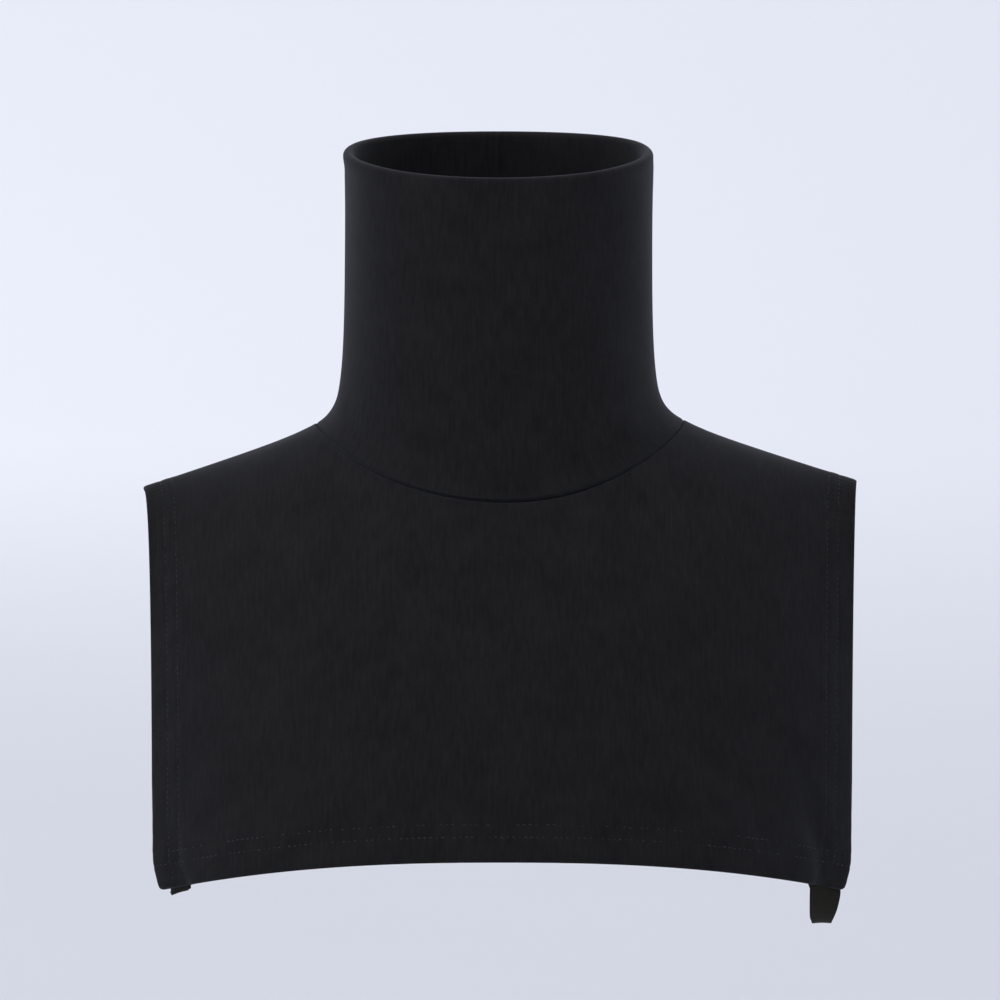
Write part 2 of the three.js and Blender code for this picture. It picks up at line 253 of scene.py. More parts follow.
def make_sheet(name, face, flat, thickness=CLOTH, ring=False):
    """A closed sheet from the grid of its face: the back is the face moved in along the normals. A ring's
    flat cloth has one column more than its face, where the cloth's two ends meet."""
    back = face - thickness * grid_normals(face, ring)
    points = np.concatenate([face.reshape(-1, 3), back.reshape(-1, 3)])
    rows, columns = face.shape[:2]
    faces = sheet_faces(rows, columns, ring)
    flat_faces = sheet_faces(rows, columns + 1, False)[: len(faces)] if ring else faces
    flat_both = np.concatenate([flat.reshape(-1, 2)] * 2)
    piece = make_mesh(name, points, faces, flat_both[flat_faces.ravel()])
    print(name, len(faces) * 2, "triangles")
    return piece


def flat_area(face, ring=False):
    """The area of the grid in square metres: half the cross product of each cell's diagonals."""
    if ring:
        face = np.concatenate([face, face[:, :1]], axis=1)
    one = face[1:, 1:] - face[:-1, :-1]
    other = face[1:, :-1] - face[:-1, 1:]
    return float(np.linalg.norm(np.cross(one, other), axis=-1).sum() / 2)


# %% [markdown]
# ## Black jersey
#
# Cotton jersey is matt, and its black is a very dark blue-grey. Fine upright ribs of stitches, the wales,
# run down the cloth, and where the light grazes it a soft bloom of loose fibre catches it. A picture of
# cloth could be wrapped round the sheet, but a knit worked out from the flat cloth's coordinates stays
# sharp at every size. Slow noise breaks the black up, as dye and handling do.

# %% Shader helpers
def new_material(name, colour, roughness, sheen, sheen_tint, specular=0.12):
    """A material with a Principled shader whose uniform values stand on its own sockets."""
    material = bpy.data.materials.new(name)
    material.use_nodes = True
    shader = material.node_tree.nodes["Principled BSDF"]
    shader.inputs["Base Color"].default_value = (*colour, 1)
    shader.inputs["Roughness"].default_value = roughness
    shader.inputs["Specular IOR Level"].default_value = specular
    shader.inputs["Sheen Weight"].default_value = sheen
    shader.inputs["Sheen Roughness"].default_value = 0.45
    shader.inputs["Sheen Tint"].default_value = (*sheen_tint, 1)
    return material, shader


def add_node(material, kind, settings=None, **links):
    """A node of a kind with some of its settings, and its inputs either linked or given a value."""
    node = material.node_tree.nodes.new(kind)
    for key, value in (settings or {}).items():
        setattr(node, key, value)
    for key, value in links.items():
        socket = node.inputs[int(key[1:])] if key[0] == "i" and key[1:].isdigit() else node.inputs[key]
        if isinstance(value, bpy.types.NodeSocket):
            material.node_tree.links.new(value, socket)
        else:
            socket.default_value = value
    return node


def link(material, source, socket):
    """A link from an output to an input."""
    material.node_tree.links.new(source, socket)


def math_node(material, operation, a, b=0.0, clamp=False):
    """The result of a Math node."""
    node = add_node(material, "ShaderNodeMath", {"operation": operation, "use_clamp": clamp}, i0=a, i1=b)
    return node.outputs[0]


def noise(material, vector, scale, detail=3.0, roughness=0.5):
    """The value of a Noise node."""
    settings = {"Scale": scale, "Detail": detail, "Roughness": roughness}
    node = add_node(material, "ShaderNodeTexNoise", None, Vector=vector, **settings)
    return node.outputs["Fac"]


def times(material, a, b, clamp=False):
    """The product of two values."""
    return math_node(material, "MULTIPLY", a, b, clamp)


def plus(material, total, *more):
    """The sum of some values."""
    for value in more:
        total = math_node(material, "ADD", total, value)
    return total


def on_flat_cloth(material):
    """The place on the flat cloth, and its two coordinates: across and along."""
    flat = add_node(material, "ShaderNodeUVMap", {"uv_map": "flat_cloth"}).outputs[0]
    split = add_node(material, "ShaderNodeSeparateXYZ", None, i0=flat)
    return flat, split.outputs[0], split.outputs[1]


def colour_between(material, shader, factor, dark, light):
    """The base colour goes from one colour to the other by a factor."""
    colour = add_node(material, "ShaderNodeMix", {"data_type": "RGBA"}, Factor=factor)
    colour.inputs["A"].default_value = (*dark, 1)
    colour.inputs["B"].default_value = (*light, 1)
    link(material, colour.outputs["Result"], shader.inputs["Base Color"])


def fine_relief(material, shader, height, strength, distance):
    """Relief too fine for the mesh, shown by bending the normal."""
    bump = add_node(material, "ShaderNodeBump", None, Strength=strength, Distance=distance, Height=height)
    link(material, bump.outputs[0], shader.inputs["Normal"])


# %% The jersey
WALE = 0.62 * MM
COURSE = 0.48 * MM
WALE_WANDER = 5.0
STITCH_LEAN = 0.6
FUZZ_RELIEF = 2.2
STREAK_STRETCH = (1, 0.16, 1)
JERSEY_DARK = (0.0056, 0.0055, 0.0058)
JERSEY_LIGHT = (0.0112, 0.0109, 0.0114)
# Shares of the streaks, the clouds, the knit and the fuzz in the tone, and what is taken off their sum
TONE_SHARES = (1.8, 1.6, 0.05, 0.8)
TONE_CUT = 1.6


def make_jersey():
    """Knit relief: a sine across the wales, bent by one down the courses so that each stitch leans. The
    colour goes between two blacks by slow noise, by upright streaks and a little by the wales."""
    material, shader = new_material("black_jersey", JERSEY_LIGHT, 0.9, 0.09, (0.85, 0.87, 1.0))
    flat, across, along = on_flat_cloth(material)
    fuzz = noise(material, flat, 900, 4)
    wander = times(material, noise(material, flat, 60, 2), WALE_WANDER)
    across = plus(material, times(material, across, 2 * math.pi / WALE), wander)
    down = math_node(material, "SINE", times(material, along, 2 * math.pi / COURSE))
    lean = times(material, down, math_node(material, "SINE", across))
    knit = plus(material, math_node(material, "COSINE", across), times(material, lean, STITCH_LEAN))
    stretched = add_node(material, "ShaderNodeMapping", None, Vector=flat, Scale=STREAK_STRETCH).outputs[0]
    streak = noise(material, stretched, 620, 2)
    cloud = noise(material, flat, 42, 5, 0.65)
    parts = zip((streak, cloud, knit, fuzz), TONE_SHARES)
    tone = plus(material, *(times(material, value, share) for value, share in parts))
    tone = math_node(material, "SUBTRACT", tone, TONE_CUT, clamp=True)
    colour_between(material, shader, tone, JERSEY_DARK, JERSEY_LIGHT)
    fine_relief(material, shader, plus(material, knit, times(material, fuzz, FUZZ_RELIEF)), 0.2, 0.1 * MM)
    return material


jersey = make_jersey()
print(jersey.name, "with wales every", WALE / MM, "mm")

# %% The elastic and the thread
ELASTIC_RIB = 1.1 * MM
BRAID_STEP = 0.7 * MM
BRAID_RELIEF, GRAIN_RELIEF = 0.6, 2.0
ELASTIC_DARK = (0.0050, 0.0050, 0.0028)
ELASTIC_LIGHT = (0.0118, 0.0116, 0.0066)
THREAD_DARK = (0.0050, 0.0050, 0.0053)
THREAD_LIGHT = (0.0150, 0.0150, 0.0161)
WEAR_CUT, WEAR_GAIN = 0.38, 2.5


def make_elastic():
    """Rubber threads run along the strap and lift it into narrow ribs, crossed by a fine braid."""
    material, shader = new_material("black_elastic", ELASTIC_LIGHT, 0.7, 0.05, (0.95, 1.0, 0.85), 0.1)
    flat, across, along = on_flat_cloth(material)
    ribs = math_node(material, "COSINE", times(material, across, 2 * math.pi / ELASTIC_RIB))
    braid = math_node(material, "COSINE", times(material, along, 2 * math.pi / BRAID_STEP))
    grain = noise(material, flat, 1400, 3)
    relief = plus(material, ribs, times(material, braid, BRAID_RELIEF), times(material, grain, GRAIN_RELIEF))
    colour_between(material, shader, grain, ELASTIC_DARK, ELASTIC_LIGHT)
    fine_relief(material, shader, relief, 0.3, 0.15 * MM)
    return material


def make_thread():
    """Spun polyester: smoother than the jersey, so it glints. Slow noise wears it dark in places, and fine
    noise gives it a twist."""
    material, shader = new_material("black_thread", THREAD_DARK, 0.55, 0.1, (0.9, 0.93, 1.0), 0.3)
    place = add_node(material, "ShaderNodeTexCoord").outputs["Object"]
    twist = noise(material, place, 2500, 2)
    wear = math_node(material, "SUBTRACT", noise(material, place, 160, 3), WEAR_CUT)
    wear = times(material, wear, WEAR_GAIN, clamp=True)
    colour_between(material, shader, times(material, twist, wear), THREAD_DARK, THREAD_LIGHT)
    fine_relief(material, shader, twist, 0.5, 0.08 * MM)
    return material


elastic = make_elastic()
thread = make_thread()


def finish_piece(piece, node, material):
    """The piece rides on the one body, stands for its node and takes its finish from the slot."""
    piece.data.materials.append(material)
    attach(piece, "root")
    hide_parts(node)
    return piece

# %% [markdown]
# ## The collar
#
# The collar is one band of jersey, sewn into a tube behind, folded double at the rim and caught in the neck
# seam with both its edges. Below, it spreads to meet the neckline; above, it stands nearly straight and
# leans forward a little. A thick wall with a round rim would give the outline, but in the fold of a real
# collar there is air. So one thin sheet goes up outside, round the rim and down inside.

# %% Sizes of the collar
TUBE_HALF_WIDTH = 74.5 * MM
TUBE_HALF_DEPTH = 63 * MM
TUBE_SQUARENESS = 2.1
TUBE_CENTRE = (-0.9 * MM, -8 * MM)
TUBE_LEAN = 6 * MM
COLLAR_WALL = 3 * MM
RIM_WALL = 5.6 * MM
RIM_HEIGHT = 131.1 * MM
RIM_TILT = math.radians(8)
RIM_SIDE_LIFT = 2 * MM
RIM_FLARE = 0.04
FLARE_START, SWELL_START = 0.75, 0.72
SPREAD_FADES = ((0.55, 0.045), (0.45, 0.16))
SEAM_AIR = 0.01 * MM


def squarer(value):
    """A sine or cosine raised to a power below 1, its sign kept, which makes the loop it draws squarer."""
    return np.sign(value) * np.abs(value) ** (2 / TUBE_SQUARENESS)


def spread_left(height):
    """How much of the way from the tube out to the neckline is left at a share of the height: two fading
    curves, one short and one long, and a slight flare at the rim."""
    fading = sum(share * np.exp(-height / reach) for share, reach in SPREAD_FADES)
    return fading + RIM_FLARE * np.clip((height - FLARE_START) / (1 - FLARE_START), 0, 1) ** 2


def neck_seam(turn, clearance):
    """The whole neckline, by its turn from the middle of the front."""
    ahead = np.cos(turn) >= 0
    front = neckline(FRONT, turn, clearance)[1]
    back = neckline(BACK, math.pi - turn, clearance)[1]
    return np.where(ahead[..., None], front, back)


def collar_point(turn, height, seam):
    """Between the neckline and a squarish loop: the plan goes from one to the other by the spread that is
    left, and the height from the seam's up to the slanting rim's."""
    centre_y = TUBE_CENTRE[1] - TUBE_LEAN * height
    x = TUBE_CENTRE[0] + TUBE_HALF_WIDTH * squarer(np.sin(turn))
    y = centre_y - TUBE_HALF_DEPTH * squarer(np.cos(turn))
    rim = RIM_HEIGHT + (y - centre_y) * math.tan(RIM_TILT) + RIM_SIDE_LIFT * np.sin(turn) ** 2
    spread = spread_left(height)
    return np.stack([lerp(x, seam[..., 0], spread), lerp(y, seam[..., 1], spread),
                     lerp(seam[..., 2], rim, height)], axis=-1)


def smooth(low, high, value):
    """A smooth step from 0 at low to 1 at high."""
    t = np.clip((value - low) / (high - low), 0, 1)
    return t * t * (3 - 2 * t)


def well(value, centre, width):
    """A bell of height 1 round the centre."""
    return np.exp(-(((value - centre) / width) ** 2))


# %% The seam's inward turn
SEAM_ROLL = 0.8 * MM
SEAM_CRACK = 0.34 * MM
SHOULDER_CRACK = 0.005 * MM
SHOULDER_ROLL = 0.3 * MM
SEAM_DEPTH = 3.0 * MM
NEAR = 0.002


def seam_normal(bib, turn):
    """Where collar and bib meet, both cloths turn in along one direction: halfway between their normals."""
    share, _ = neckline(bib, turn)
    on_bib = fall_normal(bib, NECK_HALF * np.sin(turn), share)
    round_turn = turn if bib["side"] < 0 else math.pi - turn
    here = collar_point(round_turn, 0.0, neck_seam(round_turn, 0))
    above = collar_point(round_turn, NEAR, neck_seam(round_turn, 0))
    beside = collar_point(round_turn + NEAR, 0.0, neck_seam(round_turn + NEAR, 0))
    on_collar = unit(np.cross(beside - here, above - here))
    return unit(on_bib + on_collar)


def curl(start, corner, inward, rows, length=SEAM_ROLL):
    """Rows of a curve that leaves the cloth at start, heads for the seam line at corner and ends straight
    inwards from it: a quadratic curve between the three. The rows run from inside to the start."""
    end = corner + inward * length
    t = np.linspace(1, 0, rows, endpoint=False)[:, None, None]
    return (1 - t) ** 2 * start + 2 * t * (1 - t) * corner + t**2 * end


# %% The collar's face, from the seam up, round the rim and down inside
COLLAR_COLUMNS = 240
BACK_SEAM_COLUMNS = 14
BACK_SEAM_TURN = 0.05
CURL_ROWS = 6
OUTER_ROWS = 74
FOLD_ROWS = 9
INNER_ROWS = 44
OUTER_EASE = 1.15
INNER_START = 0.4
RIM_GROOVE = 6.5 * MM
# Each wave: how high it is in mm, how often it goes round, how much it slants, and its shift
COLLAR_WAVES = ((0.32, 3, 2.2, 0.6), (0.22, 5, -3.1, 2.0), (0.15, 9, 5.0, 0))


def collar_relief(turn, height):
    """How far the collar stands off its form: soft upright waves, a flatter place in front, a slight drag
    above the seam, a faint groove under the rim's roll, and the seam of the tube behind."""
    waves = sum(lift * np.sin(count * turn + slant * height + shift)
                for lift, count, slant, shift in COLLAR_WAVES)
    flat_front = -0.9 * well(turn, math.radians(34), 0.2)
    drag = 0.18 * np.sin(14 * turn + 16 * height) * well(height, 0.1, 0.09)
    groove = 0.07 * well(RIM_HEIGHT * (1 - height), RIM_GROOVE, 3.0 * MM)
    behind = np.abs(np.abs(turn) - math.pi) * TUBE_HALF_WIDTH
    tube_seam = 0.55 * well(behind, 0, 1.0 * MM)
    quiet = smooth(0, 0.08, height) * smooth(0, 0.05, 1 - height)
    return ((waves + flat_front + drag) * quiet - groove - tube_seam) * MM


def collar_turns():
    """Even turns from -pi to pi, and closer ones at the seam behind, so that its groove is crisp."""
    edge = math.pi - BACK_SEAM_TURN
    even = np.linspace(-edge, edge, COLLAR_COLUMNS, endpoint=False)
    close = np.linspace(edge, math.pi, BACK_SEAM_COLUMNS, endpoint=False)
    return np.concatenate([close - math.pi - edge, even, close])


def collar_face():
    """The grid of the face. Outside, the form itself with its relief; inside, the same moved in by the wall,
    which grows towards the rim; and between them half a circle over the two."""
    turn = collar_turns()[None, :]
    seam = neck_seam(turn, -SEAM_CRACK)
    ahead = np.cos(turn) >= 0
    bib_turn = np.where(ahead, turn, math.pi - turn)
    inward = -np.where(ahead[..., None], seam_normal(FRONT, bib_turn), seam_normal(BACK, bib_turn))
    first = SEAM_ROLL / RIM_HEIGHT
    height = lerp(first, 1.0, np.linspace(0, 1, OUTER_ROWS) ** OUTER_EASE)[:, None]
    outer = collar_point(turn, height, seam)
    normal = -grid_normals(outer, True)
    outer = outer + normal * collar_relief(turn, height)[..., None]
    down = np.linspace(1, 0, INNER_ROWS)[:, None]
    inner_height = lerp(first * INNER_START, 1.0, down)
    shape = collar_point(turn, inner_height, seam)
    inner_normal = -grid_normals(shape[::-1], True)[::-1]
    swelling = np.clip((inner_height - SWELL_START) / (1 - SWELL_START), 0, 1) ** 2
    wall = lerp(COLLAR_WALL, RIM_WALL, swelling)
    inner = shape + inner_normal * (collar_relief(turn, inner_height) - wall)[..., None]
    angle = np.linspace(0, math.pi, FOLD_ROWS + 2)[1:-1, None, None]
    middle = (outer[-1:] + inner[:1]) / 2
    across = (outer[-1:] - inner[:1]) / 2
    up = unit(outer[-1:] - outer[-3:-2]) * np.linalg.norm(across, axis=-1, keepdims=True)
    fold = middle + np.cos(angle) * across + np.sin(angle) * up
    seam_curl = curl(outer[:1], seam, inward, CURL_ROWS)
    allowance = neck_seam(turn, -SEAM_AIR) + inward * SEAM_DEPTH
    return np.concatenate([allowance, seam_curl, outer, fold, inner])


def ring_flat(face):
    """The flat cloth of a ring: the rows' mean distance round, and the distance up along the columns."""
    closed = np.concatenate([face, face[:, :1]], axis=1)
    round_steps = np.linalg.norm(np.diff(closed[len(face) // 4], axis=0), axis=-1)
    across = np.concatenate([[0], np.cumsum(round_steps)])
    up_steps = np.linalg.norm(np.diff(closed, axis=0), axis=-1).mean(axis=1)
    up = np.concatenate([[0], np.cumsum(up_steps)])
    return np.stack(np.broadcast_arrays(across[None, :], up[:, None]), axis=-1)


face = collar_face()[::-1]
collar_flat = ring_flat(face)
collar = make_sheet("collar_sheet", face, collar_flat, ring=True)
finish_piece(collar, "collar", jersey)

# %% [markdown]
# ## The bibs
#
# A bib is one piece of jersey. At the neckline and the shoulder it curls into a seam, and at the sides and
# the bottom it turns back into a hem, the sides first and the bottom over them, as on the real thing. The
# hems could be strips of their own, glued behind, but then no edge would look folded. So the sheet's grid
# goes round each fold: a column or a row has a place across the cloth and a depth behind its face.

# %% Hems and relief of a bib
HEM_AIR = 0.12 * MM
BOTTOM_HEM = 20 * MM
SIDE_HEM = 15 * MM
BOTTOM_ROWS = (12 * MM, 17.9 * MM)
SIDE_ROWS = (8.3 * MM, 13.7 * MM)
SINGLE_FOLD = 2 * CLOTH + HEM_AIR
CORNER_FOLD = 4 * CLOTH + 3 * HEM_AIR
HEM_LIFT, ROW_DEPTH, PUCKER = 0.22, 0.22, 0.07
CREASE_RIGHT, CREASE_BESIDE, CREASE_LEFT = 2.3, 1.0, 1.3
# Each wave of the drape: how high it is and its lengths across and down, in mm, its shift, and whether it
# lies elsewhere on the back
DRAPE_WAVES = ((0.35, 31, 57, 0, 1), (0.30, 19, -43, 1.3, 1), (0.22, 11.5, 90, 0.4, 0))
BACK_SHIFT = 2.1


def bib_relief(bib, x, q):
    """How far the cloth stands off the form: slow waves of the drape, the doubled hems, the grooves of
    their stitch rows with small puckers, and in front the creases that the straps pull at the corners."""
    above = (1 - q) * 3 * bib["fall"]
    inside = half_width(bib, q) - np.abs(x)
    phase = 0 if bib["side"] < 0 else BACK_SHIFT
    drape = sum(lift * np.sin(x / (wide * MM) + above / (long * MM) + shift + phase * moved)
                for lift, wide, long, shift, moved in DRAPE_WAVES)
    quiet = smooth(0, 30 * MM, above) * smooth(0, 25 * MM, inside) * smooth(0, 0.1, q)
    near_bottom = 1 - smooth(BOTTOM_HEM, BOTTOM_HEM + 2 * MM, above)
    near_side = 1 - smooth(SIDE_HEM, SIDE_HEM + 2 * MM, inside)
    doubled = HEM_LIFT * np.maximum(near_bottom, near_side)
    grooves = sum(well(above, row, 0.9 * MM) for row in BOTTOM_ROWS)
    grooves = grooves + sum(well(inside, row, 0.9 * MM) for row in SIDE_ROWS)
    pucker = np.sin(x / (1.55 * MM) + 1.7 * np.sin(x / (13 * MM)))
    pucker += np.sin(x / (2.3 * MM) + 2.0 * np.sin(x / (17 * MM) + 1))
    side_pucker = np.sin(above / (1.7 * MM) + 1.9 * np.sin(above / (15 * MM)))
    puckers = PUCKER * pucker * (1 - smooth(14 * MM, 30 * MM, above))
    puckers = puckers + PUCKER * side_pucker * (1 - smooth(10 * MM, 22 * MM, inside))
    right = (x > 0) * well(inside, 10 * MM + above * 0.3, 6 * MM) * (1 - smooth(5 * MM, 75 * MM, above))
    beside = (x > 0) * well(inside, 30 * MM + above * 0.6, 7 * MM) * well(above, 26 * MM, 18 * MM)
    left = (x < 0) * well(inside, 12 * MM, 4.0 * MM) * (1 - smooth(10 * MM, 45 * MM, above))
    creases = (CREASE_RIGHT * right + CREASE_BESIDE * beside + CREASE_LEFT * left) * (bib["side"] < 0)
    return (drape * quiet + doubled - ROW_DEPTH * np.minimum(grooves, 1) + puckers - creases) * MM


# %% [markdown]
# The columns of a bib start along the shoulder and round the neckline, and fan out to the hem. Near the
# side of the neck they leave the seam at a slant and turn down soon, so that no cell is squeezed flat.

# %% Columns and rows of a bib
SHOULDER_COLUMNS = 26
NECK_COLUMNS = 66
MAIN_ROWS = 112
FAN_SHARE = 0.75
FAN_EARLY, FAN_LATE = 6.0, 2.0
NECK_BLEND = 15 * MM
FINE_STEP = 1.15 * MM
ROUND_HALF = math.pi
SHORT_CURL = 0.15


def bib_columns(bib):
    """For each column of one half, from the raw edge behind the side hem inwards: its share of the width at
    the top, the share of the fall it starts at, its share at the hem, how early it fans out, its turn
    round the side fold, its turn round the neckline, which is a quarter along the shoulder, how far its edge
    stays off the seam, and how much it belongs to the neck seam."""
    flat_part = np.arange(1.5 * MM, SIDE_HEM, FINE_STEP)
    fold_turn = np.linspace(ROUND_HALF, 0, 6)[1:-1]
    inside = np.concatenate([flat_part[::-1], 0 * fold_turn, flat_part])
    turns = np.concatenate([0 * flat_part + ROUND_HALF, fold_turn, 0 * flat_part])
    side = 1 - inside / SHOULDER_HALF
    t = np.linspace(0, 1, SHOULDER_COLUMNS, endpoint=False)[1:]
    turn = np.linspace(math.pi / 2, 0, NECK_COLUMNS)
    share, _ = neckline(bib, turn, SEAM_CRACK)
    quarter = turn / (math.pi / 2)
    plain = len(side) + len(t)
    top = np.concatenate([side, lerp(side[-1], NECK_HALF / SHOULDER_HALF, t)])
    middle = 1 - np.minimum(top * SHOULDER_HALF / HEM_HALF, 1) ** BUST_FULLNESS
    start = SHOULDER_CRACK / (3 * lerp(bib["edge_roll"], bib["roll"], middle))
    early = lerp(FAN_LATE, FAN_EARLY, np.concatenate([0 * side, t**2, quarter**2]))
    return {
        "top": np.concatenate([top, (NECK_HALF + SEAM_CRACK) * np.sin(turn) / half_width(bib, share)]),
        "start": np.concatenate([start, share]),
        "hem": np.concatenate([side, lerp(side[-1], FAN_SHARE, t), FAN_SHARE * quarter]),
        "early": early,
        "side_turn": np.concatenate([turns, np.zeros(len(t) + NECK_COLUMNS)]),
        "neck_turn": np.concatenate([np.full(plain, math.pi / 2), turn]),
        "crack": np.concatenate([0 * top + SHOULDER_CRACK, SEAM_CRACK * np.minimum(6 * np.cos(turn), 1)]),
        "at_neck": np.concatenate([0 * side, smooth(1 - NECK_BLEND / (SHOULDER_HALF - NECK_HALF), 1, t),
                                   np.ones(NECK_COLUMNS)]),
    }


def both_halves(half, side):
    """The whole width from one half: what points to a side changes sign past the middle column. Seen from
    outside, the columns run to the right."""
    signs = {"top": -1, "hem": -1, "neck_turn": -1}
    whole = {key: np.concatenate([values, signs.get(key, 1) * values[-2::-1]])
             for key, values in half.items()}
    return {key: values[::-1] for key, values in whole.items()} if side < 0 else whole


def bib_rows():
    """For each row below the main ones: its height over the folded edge and its turn round the fold."""
    down = np.arange(BOTTOM_HEM + 2 * MM, 2.9 * MM, -FINE_STEP)
    fold_turn = np.linspace(0, ROUND_HALF, 7)[1:-1]
    up = np.linspace(3 * MM, BOTTOM_HEM, 13)
    height = np.concatenate([down, 0 * fold_turn, up])
    turn = np.concatenate([0 * down, fold_turn, 0 * up + ROUND_HALF])
    return height, turn


# %% The face of a bib
def folded(depth, fold, turn):
    """A layer once it has gone round a fold: on a half circle, its depth goes over to the fold's thickness
    less that depth. Gives the new depth, and how far the layer reaches past the fold's middle."""
    radius = fold / 2 - depth
    return fold / 2 - radius * np.cos(turn), radius * np.sin(turn)


def bib_places(bib, columns, keep, height, turn):
    """Points of the face with their distance x from the middle and share q of the fall. Across, the place
    and depth come from the side fold; down, they come from the bottom fold, which is thicker where the side
    hem lies in it."""
    side_turn = columns["side_turn"][None, :]
    side_depth, side_reach = folded(0.0, SINGLE_FOLD, side_turn)
    from_edge = (1 - np.abs(columns["hem"][None, :])) * SHOULDER_HALF
    fold = lerp(CORNER_FOLD, SINGLE_FOLD, smooth(SIDE_HEM, SIDE_HEM + 3 * MM, from_edge))
    depth, reach = folded(side_depth, fold, turn)
    turning = (turn > 0) & (turn < ROUND_HALF)
    above = np.where(turning, fold / 2 - reach, height)
    q = lerp(1 - above / (3 * bib["fall"]), columns["start"][None, :], keep)
    fallen = np.clip((q - columns["start"]) / (1 - columns["start"]), 0, 1)
    share = lerp(columns["top"], columns["hem"], 1 - (1 - fallen) ** columns["early"])
    x = share * half_width(bib, q)
    rounding = (side_turn > 0) & (side_turn < ROUND_HALF)
    x = np.where(rounding, x - np.sign(share) * (SINGLE_FOLD / 2 - side_reach), x)
    lift = bib_relief(bib, x, q) - depth
    return fall_point(bib, x, q) + fall_normal(bib, x, q) * lift[..., None], x, q


def bib_face(bib):
    """The grid of the face, and its x and q. The main rows share out each column between the hem and the
    seam's curl, whose length is the same on all of them."""
    columns = both_halves(bib_columns(bib), bib["side"])
    height, turn = (values[:, None] for values in bib_rows())
    top = height[0]
    ends = bib_places(bib, columns, np.array([[1.0], [0.99]]), top, 0.0)[0]
    corner = ends[:1]
    length = np.linalg.norm(ends[1] - ends[0], axis=-1) / 0.01
    keep = (1 - SEAM_ROLL / length) * np.linspace(1, 0, MAIN_ROWS, endpoint=False)[:, None]
    main, x_main, q_main = bib_places(bib, columns, keep, top, 0.0)
    low, x_low, q_low = bib_places(bib, columns, 0.0, height, turn)
    at_neck = columns["at_neck"][None, :, None]
    on_ridge = fall_normal(bib, columns["top"] * SHOULDER_HALF, 0.0 * columns["top"])
    inward = -unit(lerp(on_ridge, seam_normal(bib, columns["neck_turn"]), at_neck))
    in_layer = (1 - np.cos(columns["side_turn"][None, :, None])) / 2
    curled = curl(main[:1], corner, inward, CURL_ROWS, lerp(SHOULDER_ROLL, SEAM_ROLL, at_neck))
    back = np.linspace(1, 0, CURL_ROWS, endpoint=False)[:, None, None]
    short = main[:1] + (corner - main[:1]) * SHORT_CURL * back
    curled = lerp(curled, short, in_layer)
    closing = unit(corner - main[:1]) * columns["crack"][None, :, None]
    allowance = curled[:1] + inward * (SEAM_DEPTH - SEAM_ROLL) + closing
    allowance = lerp(allowance, curled[:1] - inward * 0.05 * MM, in_layer)
    face = np.concatenate([allowance, curled, main, low])
    x = np.concatenate([np.repeat(x_main[:1], CURL_ROWS + 1, axis=0), x_main, x_low])
    q = np.concatenate([np.repeat(q_main[:1], CURL_ROWS + 1, axis=0), q_main, q_low])
    return face, x, q


def bib_flat(bib, face, x, q):
    """The flat cloth of a bib: across, the length along the curve that a horizontal line of the cloth
    makes, and down, the length of the fall."""
    table = np.linspace(-SHOULDER_HALF, SHOULDER_HALF, 400)
    steps = np.linalg.norm(np.diff(fall_point(bib, table, 0 * table + 0.7), axis=0), axis=-1)
    along = np.concatenate([[0], np.cumsum(steps)])
    parts = 8
    falls = [fall_point(bib, x, q * k / parts) for k in range(parts + 1)]
    down = sum(np.linalg.norm(low - high, axis=-1) for high, low in zip(falls, falls[1:]))
    return np.stack([np.interp(x, table, along), -down], axis=-1)


def make_bib(bib):
    """The bib's sheet, with its cut's size and area."""
    face, x, q = bib_face(bib)
    flat = bib_flat(bib, face, x, q)
    piece = make_sheet(bib["name"] + "_bib", face, flat)
    finish_piece(piece, bib["name"] + "_panel", jersey)
    wide = float(np.ptp(flat[..., 0])) + 2 * SIDE_HEM
    long = float(np.ptp(flat[..., 1])) + BOTTOM_HEM
    area = flat_area(face)
    print(bib["name"], "cut", round(wide / MM), "by", round(long / MM), "mm, area", round(area, 4),
          "square m")
    return piece, (wide, long), area


bibs = {bib["name"]: make_bib(bib) for bib in (FRONT, BACK)}

# %% [markdown]
# ## Twin-needle stitches
#
# A jersey hem is sewn with two needles side by side, so two rows of stitches show on the face. The thread
# lies on the cloth and dives into it at each needle hole. A dashed line in the material would be flat from
# near. Here each stitch is a short, thick grain of thread, and one mesh holds all those of a bib.

# %% Stitches
STITCH = 2.8 * MM
STITCH_SHOWN = 2.35 * MM
THREAD_RADIUS = 0.26 * MM
GRAIN_RINGS = np.array([-0.5, -0.3, 0.0, 0.3, 0.5])
GRAIN_WIDTH = np.array([0.35, 0.9, 1.0, 0.9, 0.35])
GRAIN_LIFT = np.array([-0.42, 0.02, 0.14, 0.02, -0.42]) * MM
GRAIN_SIDES = 6
STITCH_SINK = 0.30 * MM
STITCH_STRAY = 0.2 * MM


def row_places(bib, x, q):
    """Places along a row of stitches from a table of x and q: the table's arc length is cut into stitches,
    and each gets its rings' places."""
    points = fall_point(bib, x, q)
    along = np.concatenate([[0], np.cumsum(np.linalg.norm(np.diff(points, axis=0), axis=-1))])
    centres = np.arange(STITCH / 2, along[-1] - STITCH / 2, STITCH)[:, None]
    places = centres + GRAIN_RINGS * STITCH_SHOWN
    return np.interp(places, along, x), np.interp(places, along, q)


def stitch_rows(bib):
    """Places of all the stitches of a bib: two rows across the bottom and two down each side."""
    rows = []
    for height in BOTTOM_ROWS:
        q = 1 - height / (3 * bib["fall"])
        reach = half_width(bib, q) - 1.5 * MM
        x = np.linspace(-reach, reach, 600)
        rows.append(row_places(bib, x, 0 * x + q))
    for side in (-1, 1):
        for inside in SIDE_ROWS:
            q = np.linspace(0.012, 1 - 2.5 * MM / (3 * bib["fall"]), 600)
            rows.append(row_places(bib, side * (half_width(bib, q) - inside), q))
    return (np.concatenate(parts) for parts in zip(*rows))


